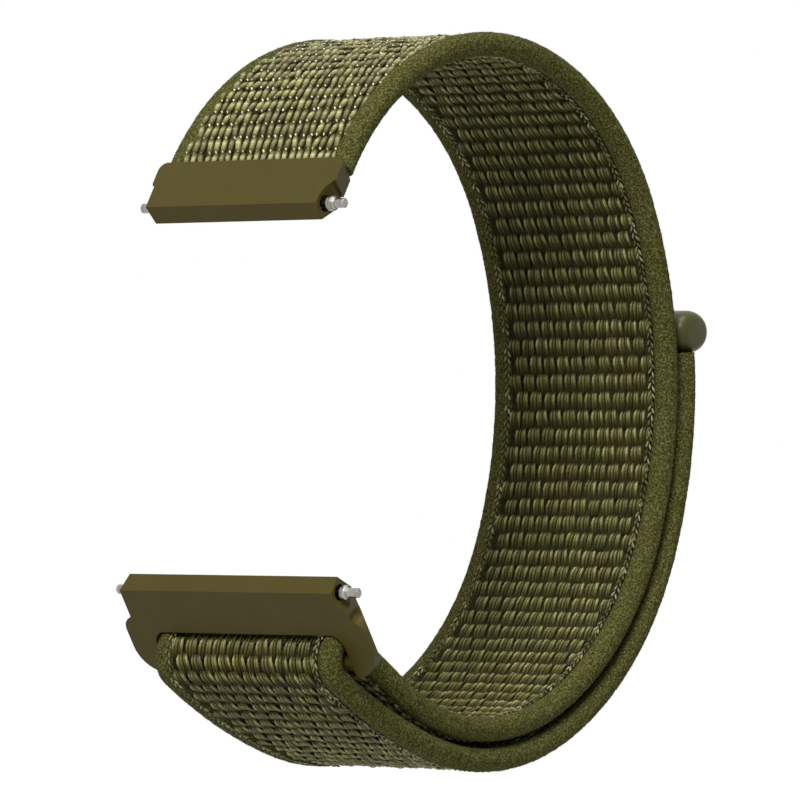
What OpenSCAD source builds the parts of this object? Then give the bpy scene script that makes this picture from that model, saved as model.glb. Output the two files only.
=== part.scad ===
// Watch band: a woven strap that loops round the wrist, runs through a slotted
// connector and closes on itself with a hook patch. X runs from the watch to the
// far side of the wrist, Y along the strap's width, Z up. The origin is the centre
// of the wrist opening.

/* [Watch] */
// Gap between the watch's lugs at the upper connector
upper_gap = 20; // [18:1:22]
// Gap between the watch's lugs at the lower connector
lower_gap = 24; // [22:1:26]
// How far each spring bar tip reaches into its lug
tip_reach = 0.8; // [0.6:0.1:1.2]

/* [Strap] */
// How far each edge of the strap lies inside the upper connector's lugs
strap_inset = 0.3; // [0.1:0.1:1]
// Thickness of the woven middle
weave_t = 1.8; // [1.4:0.1:2]
// Diameter of the edge piping
piping_d = 2.1; // [2:0.1:2.6]
// Gap between the pipings of the two layers
layer_gap = 0.4; // [0.25:0.05:1]

/* [Loop] */
// Start of the strap at the upper connector's mouth, along X
start_x = -19.6; // [-24:0.2:-16]
// Start of the strap at the upper connector's mouth, along Z
start_z = 17.15; // [14:0.05:20]
// Direction of the strap at the mouth, above the X axis
start_heading = 58.5; // [50:0.1:65]
// Radius of the upper left bend
bend_1_r = 23; // [21:0.1:28]
// Turn of the upper left bend
bend_1_turn = 66.6; // [60:0.1:75]
// Radius of the upper right bend
bend_2_r = 22.5; // [19:0.1:25]
// Turn of the upper right bend
bend_2_turn = 57.9; // [50:0.1:65]
// Radius of the long bend at the far side
bend_3_r = 35.8; // [30:0.1:45]
// Turn of the long bend at the far side
bend_3_turn = 46; // [40:0.1:50]
// Radius of the lower right bend
bend_4_r = 24.9; // [21:0.1:28]
// Turn of the lower right bend
bend_4_turn = 45.5; // [36:0.1:48]
// Radius of the lower left bend
bend_5_r = 21.2; // [20:0.1:26]
// Turn of the lower left bend
bend_5_turn = 56; // [52:0.1:64]
// Straight run from the last bend to the slot bar
slot_run = 7.3; // [6:0.1:9]

/* [Tail] */
// Turn of the far side bend that the tail covers
tail_cover = 26; // [20:0.5:34]
// Gap between two lengths of the tail
tail_gap = 0.3; // [0.2:0.05:0.5]
// Thickness of the hook patch
hook_t = 0.3; // [0.2:0.05:0.35]
// Distance from the hook patch to each edge of the woven middle
hook_inset = 1; // [0.5:0.1:3]
// Height of the end tab along the tail
tab_h = 3.5; // [3:0.1:4.5]
// How far the end tab stands out past the tail's middle
tab_out = 3.1; // [2.6:0.1:3.6]

/* [Connectors] */
// Thickness of both connectors
block_t = 2.4; // [2.4:0.1:3.2]
// Side clearance of the upper connector between the lugs
upper_side_gap = 0.5; // [0.1:0.05:0.6]
// How much wider the upper connector is at the strap
upper_flare = 0.3; // [0:0.05:0.6]
// Distance from the spring bar to the upper connector's mouth
upper_len = 3.8; // [3.6:0.1:4.6]
// Side clearance of the lower connector between the lugs
lower_side_gap = 0.3; // [0.1:0.05:0.6]
// Width of each ear of the lower connector, beside the slot
ear_w = 2.7; // [2.4:0.1:3]
// Distance from the spring bar to the top of the ears
ears_start = 2.1; // [2:0.1:2.6]
// Radius of the ears' lower corners
ears_r = 2.6; // [1.6:0.1:2.6]
// Distance from the spring bar to the slot bar
slot_bar_drop = 6.35; // [6.2:0.05:7.4]
// Diameter of the slot bar
slot_bar_d = 1.3; // [1.2:0.1:1.8]
// Direction of the lower connector, from its spring bar to its slot bar
lower_lean = -58; // [-64:1:-50]

/* [Spring bars] */
// Outer diameter of the tube
tube_d = 1.3; // [1.3:0.05:1.6]
// Distance from each end of the tube to the lug
tube_short = 2; // [2:0.1:3]
// Diameter of the tips
tip_d = 0.8; // [0.7:0.05:0.9]
// Travel of each tip
tip_travel = 1.1; // [0.8:0.1:1.1]
// Coils of each spring
spring_coils = 12; // [8:1:14]
// Wire of each spring
spring_wire = 0.18; // [0.14:0.01:0.2]

/* [Hidden] */
$fn = 48;

// Clearances, and how far a cut runs past what it cuts
running = 0.05;
seat = 0.05;
fold_gap = 0.05;
past = 1;
slot_gap = 0.12;
slot_side_gap = 0.3;
weave_seat = 0.02;

// The strap's section, across the loop and along its width
strap_w = upper_gap - 2 * strap_inset;
layer_pitch = piping_d + layer_gap;
piping_r = piping_d / 2;
piping_y = strap_w / 2 - piping_r;
weave_w = 2 * (piping_y - piping_r - weave_seat);

// Bends of the loop's middle line, clockwise from the upper connector
bend_r = [bend_1_r, bend_2_r, bend_3_r, bend_4_r, bend_5_r];
bend_turn = [bend_1_turn, bend_2_turn, bend_3_turn, bend_4_turn, bend_5_turn];
bends = len(bend_r);
far_bend = 2;
last_bend = bends - 1;

function toward(a) = [cos(a), sin(a)];
function left_of(a) = [-sin(a), cos(a)];
function heading(i) = i == 0 ? start_heading : heading(i - 1) - bend_turn[i - 1];
function bend_start(i) = i == 0 ? [start_x, start_z]
    : bend_centre(i - 1) + bend_r[i - 1] * left_of(heading(i));
function bend_centre(i) = bend_start(i) - bend_r[i] * left_of(heading(i));
function bend_point(i, turn, offset_r) = bend_centre(i)
    + (bend_r[i] + offset_r) * left_of(heading(i) - turn);

// The fold round the slot bar
end_heading = heading(bends);
loop_end = bend_start(bends);
fold_r = slot_bar_d / 2 + fold_gap + piping_r;
slot_bar = loop_end + slot_run * toward(end_heading) + fold_r * left_of(end_heading);
fold_exit = slot_bar + fold_r * left_of(end_heading);

// The tail leaves the fold on one bend that closes on the loop. Both its circle and
// the tail's own touch, so its radius follows from how far out the fold's exit lies.
tail_over = bend_r[last_bend] + layer_pitch;
exit_over = bend_r[last_bend] + 2 * fold_r;
merge_r = (slot_run ^ 2 + exit_over ^ 2 - tail_over ^ 2) / (2 * (exit_over - tail_over));
merge_turn = atan2(slot_run, merge_r - exit_over);
merge_centre = fold_exit - merge_r * left_of(end_heading);

// The first layer, the fold and the bend back, as points with headings
bend_step = 5;
fold_step = 12;
piping_sides = 10;
function steps(turn, step) = ceil(turn / step);
function on_bend(i, turn) = [bend_point(i, turn, 0), heading(i) - turn];
function round_left(centre, r, from, turn) = [centre - r * left_of(from + turn), from + turn];
loop_path = [
    for (i = [0 : bends - 1]) let (n = steps(bend_turn[i], bend_step))
        for (k = [0 : n - 1])
            on_bend(i, bend_turn[i] * k / n),
    on_bend(last_bend, bend_turn[last_bend]),
    for (k = [0 : steps(180, fold_step)])
        round_left(slot_bar, fold_r, end_heading, 180 * k / steps(180, fold_step)),
    for (k = [1 : steps(merge_turn, bend_step)])
        round_left(merge_centre, merge_r, end_heading + 180,
            merge_turn * k / steps(merge_turn, bend_step))
];

// A point of the path, moved to its left. The first ones lie on the slanted mouth.
function path_point(n, v) = loop_path[n][0] + v * left_of(loop_path[n][1])
    + (n == 0 ? seat + v * mouth_slant / block_t : 0) * toward(loop_path[n][1]);

// The tail's three lengths, each on one bend: [bend, turn at its end, turn at its start]
tail_bends = [
    [last_bend, 0, bend_turn[last_bend] - merge_turn],
    [last_bend - 1, 0, bend_turn[last_bend - 1]],
    [far_bend, bend_turn[far_bend] - tail_cover, bend_turn[far_bend]]
];
function gap_turn(k) = tail_gap / (bend_r[tail_bends[k][0]] + layer_pitch) * 180 / PI;
tab_at = bend_point(far_bend, tail_bends[2][1], layer_pitch);
tab_heading = heading(far_bend) - tail_bends[2][1] + 180;
tongue_t = 1;
tongue_len = 0.65 * tab_h;
tab_inset = 0.2;
tab_edge_r = 0.5;
hook_end_turn = 2;

// Connector sections: along the block from the spring bar, and outward
bore_d = tube_d + 2 * running;
bar_cover = 0.3;
outer_v = bore_d / 2 + bar_cover;
inner_v = outer_v - block_t;
ridge = -0.55;
nose = -1.3;
nose_v = -0.35;
back = 0.3;
mouth_slant = 0.7;
mouth_v = -0.3;
mouth_len = upper_len - mouth_slant * (outer_v - mouth_v) / block_t;
upper_at = [start_x, start_z] - mouth_len * toward(start_heading) - mouth_v * left_of(start_heading);
throat_t = 1.2;
anchor_u = 2.05;
anchor_rod_d = 0.7;
anchor_end_d = 1.5;
upper_w = upper_gap - 2 * upper_side_gap;
upper_flare_from = 1.5;
upper_shoulder_r = 0.3;
upper_corner_r = 0.8;
lower_w = lower_gap - 2 * lower_side_gap;
slot_w = strap_w + 2 * slot_side_gap;
ears_w = slot_w + 2 * ear_w;
slot_bar_v = 0.35;
lower_at = slot_bar - slot_bar_drop * toward(lower_lean) - slot_bar_v * left_of(lower_lean + 180);
ear_past_bar = 0.5;
lower_end = slot_bar_drop + slot_bar_d / 2 + ear_past_bar;
ear_shoulder_r = 1.2;
ear_slope = 1;
ear_rim = 0.6;
end_slope = 0.35;
slot_corner_r = piping_r + slot_gap;
window_r = fold_r + piping_r + slot_gap;
notch_r = 1.5;
notch_depth = 0.85;

// Spring bar sizes, and its lengths from its middle outward for a gap between lugs
tube_wall = 0.2;
crimp_t = 0.4;
neck_d = tip_d - 0.3;
head_t = 0.75;
head_d = tube_d - 2 * tube_wall - 2 * running;
flange_d = tube_d - 0.06;
flange_gap = 0.1;
flange_t = 0.4;
cone_t = 0.25;
tip_bevel = 0.1;
spring_r = head_d / 2 - spring_wire / 2 - running;
function tube_half(gap) = gap / 2 - tube_short;
function tip_end(gap) = gap / 2 + tip_reach;
function flange_at(gap) = tube_half(gap) + tip_travel + flange_gap;
function head_out(gap) = tube_half(gap) - crimp_t - seat;
function spring_half(gap) = head_out(gap) - head_t - seat;
ring_steps = 8;
wire_sides = 6;

// Sweeps a section round a centre in the loop's plane; the section's x points away
// from the centre and its y toward the near edge.
module swing(centre, r, from, turn) {
    translate([centre.x, 0, centre.y])
        rotate([90, 0, 0])
            rotate_extrude(angle = turn, start = from)
                translate([r, 0])
                    children();
}

// Follows part of bend i at an offset, between two turns from the bend's start.
module follow(i, offset_r, from_turn, to_turn) {
    swing(bend_centre(i), bend_r[i] + offset_r, heading(i) - to_turn + 90, to_turn - from_turn)
        children();
}

// Places a block with x along an angle in the loop's plane and z to its left, or to
// its right if flipped, which on both connectors and the tab is outward.
module place(at, along, flipped = false) {
    translate([at.x, 0, at.y])
        rotate([0, -along, 0])
            mirror([0, 0, flipped ? 1 : 0])
                children();
}

module weave_section() {
    square([weave_t, weave_w], center = true);
}

module piping_section(side) {
    translate([0, side * piping_y])
        circle(piping_r);
}

module tail_path(k) {
    b = tail_bends[k];
    follow(b[0], layer_pitch, b[1], b[2] - gap_turn(k))
        children();
}

module strap_loop() {
    last = len(loop_path) - 1;
    color("#5b5a34") {
        rotate([90, 0, 0])
            linear_extrude(weave_w, center = true)
                polygon([
                    for (n = [0 : last]) path_point(n, weave_t / 2),
                    for (n = [last : -1 : 0]) path_point(n, -weave_t / 2)
                ]);
        place(upper_at, start_heading)
            strap_end();
    }
}

// The strap's fixed end, pinched in the mouth and thick again round its rod.
module strap_end() {
    difference() {
        union() {
            translate([anchor_u, -weave_w / 2, mouth_v - throat_t / 2])
                cube([upper_len - anchor_u, weave_w, throat_t]);
            across(anchor_u, mouth_v, anchor_end_d - 2 * seat, weave_w);
        }
        across(anchor_u, mouth_v, anchor_rod_d + 2 * weave_seat, weave_w + past);
    }
}

// A cylinder across the strap's width at a place in a block's section.
module across(u, v, d, length) {
    translate([u, 0, v])
        rotate([90, 0, 0])
            cylinder(d = d, h = length, center = true);
}

module strap_anchor_rod() {
    color("#8a8c8e")
        place(upper_at, start_heading)
            across(anchor_u, mouth_v, anchor_rod_d, weave_w - 2 * seat);
}

// One edge piping of the first layer and the fold, as one tube.
module loop_piping(side) {
    rings = len(loop_path);
    points = [
        for (n = [0 : rings - 1])
            for (j = [0 : piping_sides - 1]) let (
                a = 360 * j / piping_sides,
                p = path_point(n, piping_r * cos(a))
            )
                [p.x, -side * piping_y + piping_r * sin(a), p.y]
    ];
    color("#4a4a26")
        polyhedron(points, tube_faces(rings, piping_sides));
}

// Triangles of a tube whose rings lie one after another.
function tube_faces(rings, sides) = [
    for (i = [0 : rings - 2])
        for (j = [0 : sides - 1]) let (
            a = i * sides + j,
            b = i * sides + (j + 1) % sides
        )
            each [[a, b, b + sides], [a, b + sides, a + sides]],
    for (j = [1 : sides - 2])
        [0, j + 1, j],
    for (j = [1 : sides - 2]) let (base = (rings - 1) * sides)
        [base, base + j, base + j + 1]
];

module tail_weave(k) {
    color("#5b5a34") {
        tail_path(k)
            weave_section();
        if (k == 2)
            place(tab_at, tab_heading, true)
                translate([0, -weave_w / 2, -tongue_t / 2])
                    cube([tongue_len, weave_w, tongue_t]);
    }
}

module tail_piping(k, side) {
    color("#4a4a26")
        tail_path(k)
            piping_section(side);
}

// A block with the nose and ridge that both connectors have.
module block(front_len, back_len, w) {
    rotate([90, 0, 0])
        linear_extrude(w, center = true)
            polygon([
                [ridge, outer_v], [front_len, outer_v], [back_len, inner_v],
                [back, inner_v], [nose, nose_v]
            ]);
}

// A rounded rectangle in the block's plane: from u0 to u1, width w.
module plate(u0, u1, w, r0, r1) {
    linear_extrude(2 * block_t, center = true) {
        translate([u0 + r0, -w / 2])
            square([u1 - r1 - u0 - r0, w]);
        translate([u0, -w / 2 + r0])
            square([r0, w - 2 * r0]);
        translate([u1 - r1, -w / 2 + r1])
            square([r1, w - 2 * r1]);
        for (s = [-1, 1]) {
            translate([u0 + r0, s * (w / 2 - r0)])
                circle(r0);
            translate([u1 - r1, s * (w / 2 - r1)])
                circle(r1);
        }
    }
}

// A bar along the block whose ends draw in toward the inner face below a height.
module drawn_in(from, to, w, rim_v, slope) {
    low = inner_v - past;
    in = slope * (rim_v - low);
    translate([from, 0, 0])
        rotate([90, 0, 90])
            linear_extrude(to - from)
                polygon([
                    [w / 2, rim_v], [w / 2, outer_v + past], [-w / 2, outer_v + past],
                    [-w / 2, rim_v], [in - w / 2, low], [w / 2 - in, low]
                ]);
}

// The tool notch at the near end, which opens the spring bar's flange and runs out
// over the nose.
module notch(w) {
    translate([0, -w / 2 - notch_r + notch_depth, 0])
        cylinder(r = notch_r, h = 2 * block_t, center = true);
    translate([nose - past, -w / 2 - past, -block_t])
        cube([past - nose, notch_depth + past, 2 * block_t]);
}

module upper_connector() {
    flare_w = upper_w + 2 * upper_flare;
    color("#56502f")
        place(upper_at, start_heading)
            difference() {
                intersection() {
                    block(upper_len, upper_len - mouth_slant, flare_w);
                    union() {
                        drawn_in(nose - past, upper_flare_from + upper_shoulder_r, upper_w, outer_v, end_slope);
                        intersection() {
                            plate(upper_flare_from, upper_len, flare_w, upper_shoulder_r, upper_corner_r);
                            drawn_in(0, upper_len + past, flare_w, outer_v, end_slope);
                        }
                    }
                }
                across(0, 0, bore_d, flare_w + past);
                across(anchor_u, mouth_v, anchor_end_d, weave_w + 2 * seat);
                translate([anchor_u, -weave_w / 2 - seat, mouth_v - throat_t / 2 - seat])
                    cube([upper_len, weave_w + 2 * seat, throat_t + 2 * seat]);
                notch(upper_w);
            }
}

module lower_connector() {
    color("#4c4625")
        place(lower_at, lower_lean, true) {
            difference() {
                intersection() {
                    block(lower_end, lower_end, ears_w);
                    union() {
                        drawn_in(nose - past, ears_start + ear_shoulder_r, lower_w, outer_v, end_slope);
                        intersection() {
                            plate(ears_start, lower_end, ears_w, ear_shoulder_r, ears_r);
                            drawn_in(0, lower_end + past, ears_w, outer_v - ear_rim, ear_slope);
                        }
                    }
                }
                across(0, 0, bore_d, lower_w + past);
                window();
                notch(lower_w);
            }
            across(slot_bar_drop, slot_bar_v, slot_bar_d, slot_w + past);
        }
}

// The space that the strap's fold takes in the lower connector.
module window() {
    translate([slot_bar_drop, 0, slot_bar_v])
        rotate([90, 0, 0])
            rotate_extrude()
                rounded_half(window_r, slot_w, slot_corner_r);
}

// Half the section of a drum, from its axis out, with round outer corners.
module rounded_half(r, w, corner_r) {
    translate([0, -w / 2])
        square([r - corner_r, w]);
    translate([0, -w / 2 + corner_r])
        square([r, w - 2 * corner_r]);
    for (s = [-1, 1])
        translate([r - corner_r, s * (w / 2 - corner_r)])
            circle(corner_r);
}

module hook_patch() {
    hook_mid = layer_pitch - weave_t / 2 - weave_seat - hook_t / 2;
    b = tail_bends[2];
    color("#3b3a20")
        follow(b[0], hook_mid, b[1] + hook_end_turn, b[2] - hook_end_turn)
            square([hook_t, weave_w - 2 * hook_inset], center = true);
}

// The tab across the tail's end: a round bar with a body that grips the strap.
module end_tab() {
    roll_r = tab_h / 2;
    roll_v = tab_out - roll_r;
    tab_w = strap_w - 2 * tab_inset;
    color("#4d4e28")
        place(tab_at, tab_heading, true)
            translate([seat, 0, 0])
                difference() {
                    union() {
                        translate([roll_r, 0, roll_v])
                            rotate([90, 0, 0])
                                rotate_extrude()
                                    rounded_half(roll_r, tab_w, tab_edge_r);
                        translate([0, -tab_w / 2 + tab_edge_r, -piping_r])
                            cube([tab_h, tab_w - 2 * tab_edge_r, piping_r + roll_v]);
                    }
                    translate([-seat, -weave_w / 2 - seat, -tongue_t / 2 - seat])
                        cube([tongue_len + 2 * seat, weave_w + 2 * seat, tongue_t + 2 * seat]);
                }
}

// Spring bar pieces, along Y about the bar's own middle.
module bar_barrel(at, gap) {
    color("#a9abae")
        translate([at.x, 0, at.y])
            difference() {
                across(0, 0, tube_d, 2 * tube_half(gap));
                across(0, 0, tube_d - 2 * tube_wall, 2 * (tube_half(gap) - crimp_t));
                across(0, 0, neck_d + 2 * running, 2 * (tube_half(gap) + past));
            }
}

// One tip: its head inside the tube, neck, flange, cone and point. Side 1 is near.
module bar_tip(at, gap, side) {
    inner = head_out(gap);
    shelf = flange_at(gap);
    point = tip_end(gap);
    color("#b9bbbd")
        translate([at.x, 0, at.y])
            rotate([90, 0, 0])
                mirror([0, 0, side > 0 ? 0 : 1])
                    rotate_extrude()
                        polygon([
                            [0, inner - head_t], [head_d / 2, inner - head_t],
                            [head_d / 2, inner], [neck_d / 2, inner],
                            [neck_d / 2, shelf], [flange_d / 2, shelf],
                            [flange_d / 2, shelf + flange_t],
                            [tip_d / 2, shelf + flange_t + cone_t],
                            [tip_d / 2, point - tip_bevel],
                            [tip_d / 2 - tip_bevel, point], [0, point]
                        ]);
}

// The coil between the two heads, as one tube along a helix.
module bar_spring(at, gap) {
    rings = spring_coils * ring_steps + 1;
    wire_r = spring_wire / 2;
    reach = spring_half(gap) - wire_r;
    points = [
        for (i = [0 : rings - 1])
            for (j = [0 : wire_sides - 1]) let (
                turn = 360 * i / ring_steps,
                a = 360 * j / wire_sides,
                r = spring_r + wire_r * cos(a),
                along = reach * (2 * i / (rings - 1) - 1) + wire_r * sin(a)
            )
                [r * cos(turn), along, r * sin(turn)]
    ];
    color("#8f9194")
        translate([at.x, 0, at.y])
            polyhedron(points, tube_faces(rings, wire_sides));
}

coil_pitch = (2 * spring_half(upper_gap) - spring_wire) / spring_coils;
echo(least_gap_between_coils = coil_pitch - spring_wire);

upper_connector();
strap_anchor_rod();
strap_loop();
loop_piping(1);  // loop_piping_near
loop_piping(-1);  // loop_piping_far
bar_barrel(upper_at, upper_gap);  // upper_bar_barrel
bar_spring(upper_at, upper_gap);  // upper_bar_spring
bar_tip(upper_at, upper_gap, 1);  // upper_bar_tip_near
bar_tip(upper_at, upper_gap, -1);  // upper_bar_tip_far
lower_connector();
bar_barrel(lower_at, lower_gap);  // lower_bar_barrel
bar_spring(lower_at, lower_gap);  // lower_bar_spring
bar_tip(lower_at, lower_gap, 1);  // lower_bar_tip_near
bar_tip(lower_at, lower_gap, -1);  // lower_bar_tip_far
tail_weave(0);  // tail_weave_1
tail_weave(1);  // tail_weave_2
tail_weave(2);  // tail_weave_3
tail_piping(0, 1);  // tail_piping_near_1
tail_piping(1, 1);  // tail_piping_near_2
tail_piping(2, 1);  // tail_piping_near_3
tail_piping(0, -1);  // tail_piping_far_1
tail_piping(1, -1);  // tail_piping_far_2
tail_piping(2, -1);  // tail_piping_far_3
hook_patch();
end_tab();
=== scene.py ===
import math
import bmesh
import bpy
from mathutils import Matrix, Vector


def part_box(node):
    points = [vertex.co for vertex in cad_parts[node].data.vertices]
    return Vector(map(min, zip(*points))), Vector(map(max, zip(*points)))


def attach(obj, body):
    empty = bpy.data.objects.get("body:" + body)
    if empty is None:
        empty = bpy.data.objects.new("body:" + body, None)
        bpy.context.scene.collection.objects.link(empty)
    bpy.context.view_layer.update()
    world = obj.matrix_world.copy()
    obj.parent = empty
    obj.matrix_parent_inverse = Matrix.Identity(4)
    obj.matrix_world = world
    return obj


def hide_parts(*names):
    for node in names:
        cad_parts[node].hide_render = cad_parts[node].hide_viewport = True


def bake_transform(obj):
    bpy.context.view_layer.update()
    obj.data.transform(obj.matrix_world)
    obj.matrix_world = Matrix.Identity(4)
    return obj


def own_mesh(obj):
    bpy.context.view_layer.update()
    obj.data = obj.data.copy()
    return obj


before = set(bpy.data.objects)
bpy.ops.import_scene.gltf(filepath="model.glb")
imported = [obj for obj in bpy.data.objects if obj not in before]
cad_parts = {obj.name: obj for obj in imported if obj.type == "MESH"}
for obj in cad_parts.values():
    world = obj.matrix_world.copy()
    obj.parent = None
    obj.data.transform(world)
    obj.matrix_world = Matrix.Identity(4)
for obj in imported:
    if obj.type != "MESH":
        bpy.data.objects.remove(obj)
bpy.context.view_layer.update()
mm = 0.001                # sizes are in millimetres unless a note says otherwise
seed = 11                 # for everything random
scene = bpy.context.scene
print("frame loaded")


def linear(hexColour):                      # sRGB hex to linear
    parts = [int(hexColour[i:i + 2], 16) / 255 for i in (1, 3, 5)]
    return [c / 12.92 if c <= 0.04045 else ((c + 0.055) / 1.055) ** 2.4 for c in parts] + [1.0]


def setInputs(tree, node, inputs):          # a value, a socket, or a node for its first output
    for key, value in inputs.items():
        if isinstance(value, bpy.types.Node):
            value = value.outputs[0]
        if isinstance(value, bpy.types.NodeSocket):
            tree.links.new(value, node.inputs[key])
        else:
            node.inputs[key].default_value = value


def addNode(tree, kind, inputs=None, stops=(), **settings):    # stops are a ramp's places and colours
    node = tree.nodes.new(kind)
    for key, value in settings.items():
        setattr(node, key, value)
    setInputs(tree, node, inputs or {})
    elements = node.color_ramp.elements if stops else ()
    while len(elements) < len(stops):
        elements.new(0.5)
    for element, (place, colour) in zip(elements, stops):
        element.position = place
        element.color = linear(colour)
    return node


# Materials

def newMaterial(name, **sockets):
    material = bpy.data.materials.new(name)
    material.use_nodes = True
    tree = material.node_tree
    shader = tree.nodes["Principled BSDF"]
    setInputs(tree, shader, {key.replace("_", " "): value for key, value in sockets.items()})
    return material, tree, shader


def grainOf(tree, size, detail=3.0, stretch=(1, 1, 1)):       # noise of a real size on the object itself
    place = addNode(tree, "ShaderNodeTexCoord").outputs["Object"]
    turned = addNode(tree, "ShaderNodeMapping", {"Vector": place, "Scale": stretch})
    return addNode(tree, "ShaderNodeTexNoise", {"Vector": turned, "Scale": 1 / (size * mm), "Detail": detail})


def finishShader(tree, shader, colour, height, strength, depth):    # a colour and a relief of that depth
    relief = addNode(tree, "ShaderNodeBump", {"Height": height, "Strength": strength, "Distance": depth * mm})
    setInputs(tree, shader, {"Base Color": colour, "Normal": relief})


yarn = {
    "mottle": 0.13,                         # real filaments are finer; this is as fine as the render shows
    "mottleShare": 1.3,
    "tones": (-0.1, 0.75),                  # lightness added to the darkest and the palest strand
    "toneTurns": 7.3,                       # shares out a copy's random tone among its strands
    "brown": (1.06, 0.98, 0.86),
    "patch": 1.6,                           # size of the patches that lean to brown
    "patchEdges": (0.4, 0.65),
}


# Textured nylon yarn, slightly glossy: painted highlight where it turns over a pick, painted shade where it
# dives
def nylonYarn():
    material, tree, shader = newMaterial("textured nylon yarn", Roughness=0.45, Specular_IOR_Level=0.12)
    lift = addNode(tree, "ShaderNodeAttribute", attribute_name="lift").outputs["Fac"]
    copy = addNode(tree, "ShaderNodeAttribute", attribute_name="tone").outputs["Fac"]
    ply = addNode(tree, "ShaderNodeAttribute", attribute_name="strand").outputs["Fac"]
    mixed = addNode(tree, "ShaderNodeMath", {0: copy, 1: yarn["toneTurns"], 2: ply}, operation="MULTIPLY_ADD")
    tone = addNode(tree, "ShaderNodeMath", {0: mixed}, operation="FRACT")
    # painted light: the ramp turns each point's painted light into colour, from painted shade near black to a
    # painted highlight near white
    base = addNode(tree, "ShaderNodeValToRGB", {"Fac": lift},
                   [(0.0, "#1a1802"), (0.4, "#57552a"), (0.7, "#918f66"), (1.0, "#f6f5dc")])
    fine = grainOf(tree, yarn["mottle"], 2.0)
    darkest, palest = yarn["tones"]
    added = addNode(tree, "ShaderNodeMapRange", {"Value": tone, "To Min": darkest, "To Max": palest})
    light = addNode(tree, "ShaderNodeMath", {0: fine, 1: yarn["mottleShare"], 2: added},
                    operation="MULTIPLY_ADD")
    tinted = addNode(tree, "ShaderNodeVectorMath", {0: base, "Scale": light}, operation="SCALE")
    browned = addNode(tree, "ShaderNodeVectorMath", {0: tinted, 1: yarn["brown"]}, operation="MULTIPLY")
    low, high = yarn["patchEdges"]
    patches = addNode(tree, "ShaderNodeMapRange",
                      {"Value": grainOf(tree, yarn["patch"], 2.0), "From Min": low, "From Max": high})
    colour = addNode(tree, "ShaderNodeMix", {0: patches, 6: tinted, 7: browned}, data_type="RGBA")
    finishShader(tree, shader, colour.outputs[2], fine, strength=0.6, depth=0.04)
    return material


# Tightly woven ground cloth between the yarns: the same nylon, matt and in shadow, with painted shade
# darkening its colour
def groundCloth():
    material, tree, shader = newMaterial("nylon ground cloth", Roughness=0.8, Specular_IOR_Level=0.15)
    grain = grainOf(tree, 0.25, 4.0)
    # painted shade: colours darker than the yarn's own, for the shade between the yarns
    colour = addNode(tree, "ShaderNodeValToRGB", {"Fac": grain}, [(0.3, "#1c1b05"), (0.7, "#37361a")])
    finishShader(tree, shader, colour, grain, strength=0.6, depth=0.08)
    return material


# Brushed nylon piping: matt and felted, speckled by the ends of its nap
def brushedPiping():
    material, tree, shader = newMaterial("brushed nylon piping", Roughness=0.9, Specular_IOR_Level=0.1)
    fleck = grainOf(tree, 0.17)
    colour = addNode(tree, "ShaderNodeValToRGB", {"Fac": fleck},
                     [(0.3, "#2b2b0a"), (0.5, "#4a491e"), (0.7, "#74734b")])
    finishShader(tree, shader, colour, fleck, strength=1.0, depth=0.15)
    return material


# Nap that brushing has raised: matt fibres, some darker and some paler than the piping
def brushedNap():
    material, tree, shader = newMaterial("nylon nap", Roughness=0.9, Specular_IOR_Level=0.1)
    tone = addNode(tree, "ShaderNodeAttribute", attribute_name="tone").outputs["Fac"]
    colour = addNode(tree, "ShaderNodeValToRGB", {"Fac": tone},
                     [(0.0, "#35350f"), (0.7, "#53522a"), (1.0, "#7d7c52")])
    setInputs(tree, shader, {"Base Color": colour})
    return material


# Twisted sewing thread: a soft sheen, paler than the cloth
def sewingThread():
    material, tree, shader = newMaterial("twisted sewing thread", Roughness=0.4, Specular_IOR_Level=0.3)
    tone = addNode(tree, "ShaderNodeAttribute", attribute_name="tone").outputs["Fac"]
    colour = addNode(tree, "ShaderNodeValToRGB", {"Fac": tone},
                     [(0.0, "#454420"), (0.6, "#686740"), (1.0, "#a3a278")])
    finishShader(tree, shader, colour, grainOf(tree, 0.1, 2.0), strength=0.6, depth=0.05)
    return material


# Die cast zinc alloy under satin olive paint: a soft highlight and faint orange peel
def olivePaint():
    material, tree, shader = newMaterial("satin painted zinc", Roughness=0.4, Specular_IOR_Level=0.12)
    colour = addNode(tree, "ShaderNodeValToRGB", {"Fac": grainOf(tree, 2.5, 2.0)},
                     [(0.3, "#473f18"), (0.7, "#4a421a")])
    finishShader(tree, shader, colour, grainOf(tree, 0.16), strength=0.25, depth=0.02)
    return material


# Turned stainless steel: rings round the axis, which runs along Y, drawn coarser than a lathe leaves them
def turnedSteel():
    material, tree, shader = newMaterial("turned stainless steel", Metallic=1.0, Roughness=0.32)
    rings = grainOf(tree, 0.35, stretch=(0.05, 3.0, 0.05))
    colour = addNode(tree, "ShaderNodeValToRGB", {"Fac": rings}, [(0.3, "#77736b"), (0.7, "#b4b1aa")])
    finishShader(tree, shader, colour, rings, strength=0.3, depth=0.01)
    return material


# Hard drawn spring wire: greyer than the turned parts
def springWire():
    material, tree, shader = newMaterial("drawn spring steel", Metallic=1.0, Roughness=0.4)
    streaks = grainOf(tree, 0.3, stretch=(1, 4, 1))
    colour = addNode(tree, "ShaderNodeValToRGB", {"Fac": streaks}, [(0.3, "#77777a"), (0.7, "#9a9a9c")])
    finishShader(tree, shader, colour, streaks, strength=0.2, depth=0.01)
    return material


# Injection moulded nylon: satin, with a fine spark-eroded grain from its mould
def mouldedTab():
    material, tree, shader = newMaterial("moulded nylon tab", Roughness=0.35, Specular_IOR_Level=0.25)
    colour = addNode(tree, "ShaderNodeValToRGB", {"Fac": grainOf(tree, 1.4, 2.0)},
                     [(0.3, "#3b3b12"), (0.7, "#414118")])
    finishShader(tree, shader, colour, grainOf(tree, 0.12), strength=0.35, depth=0.02)
    return material


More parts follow.
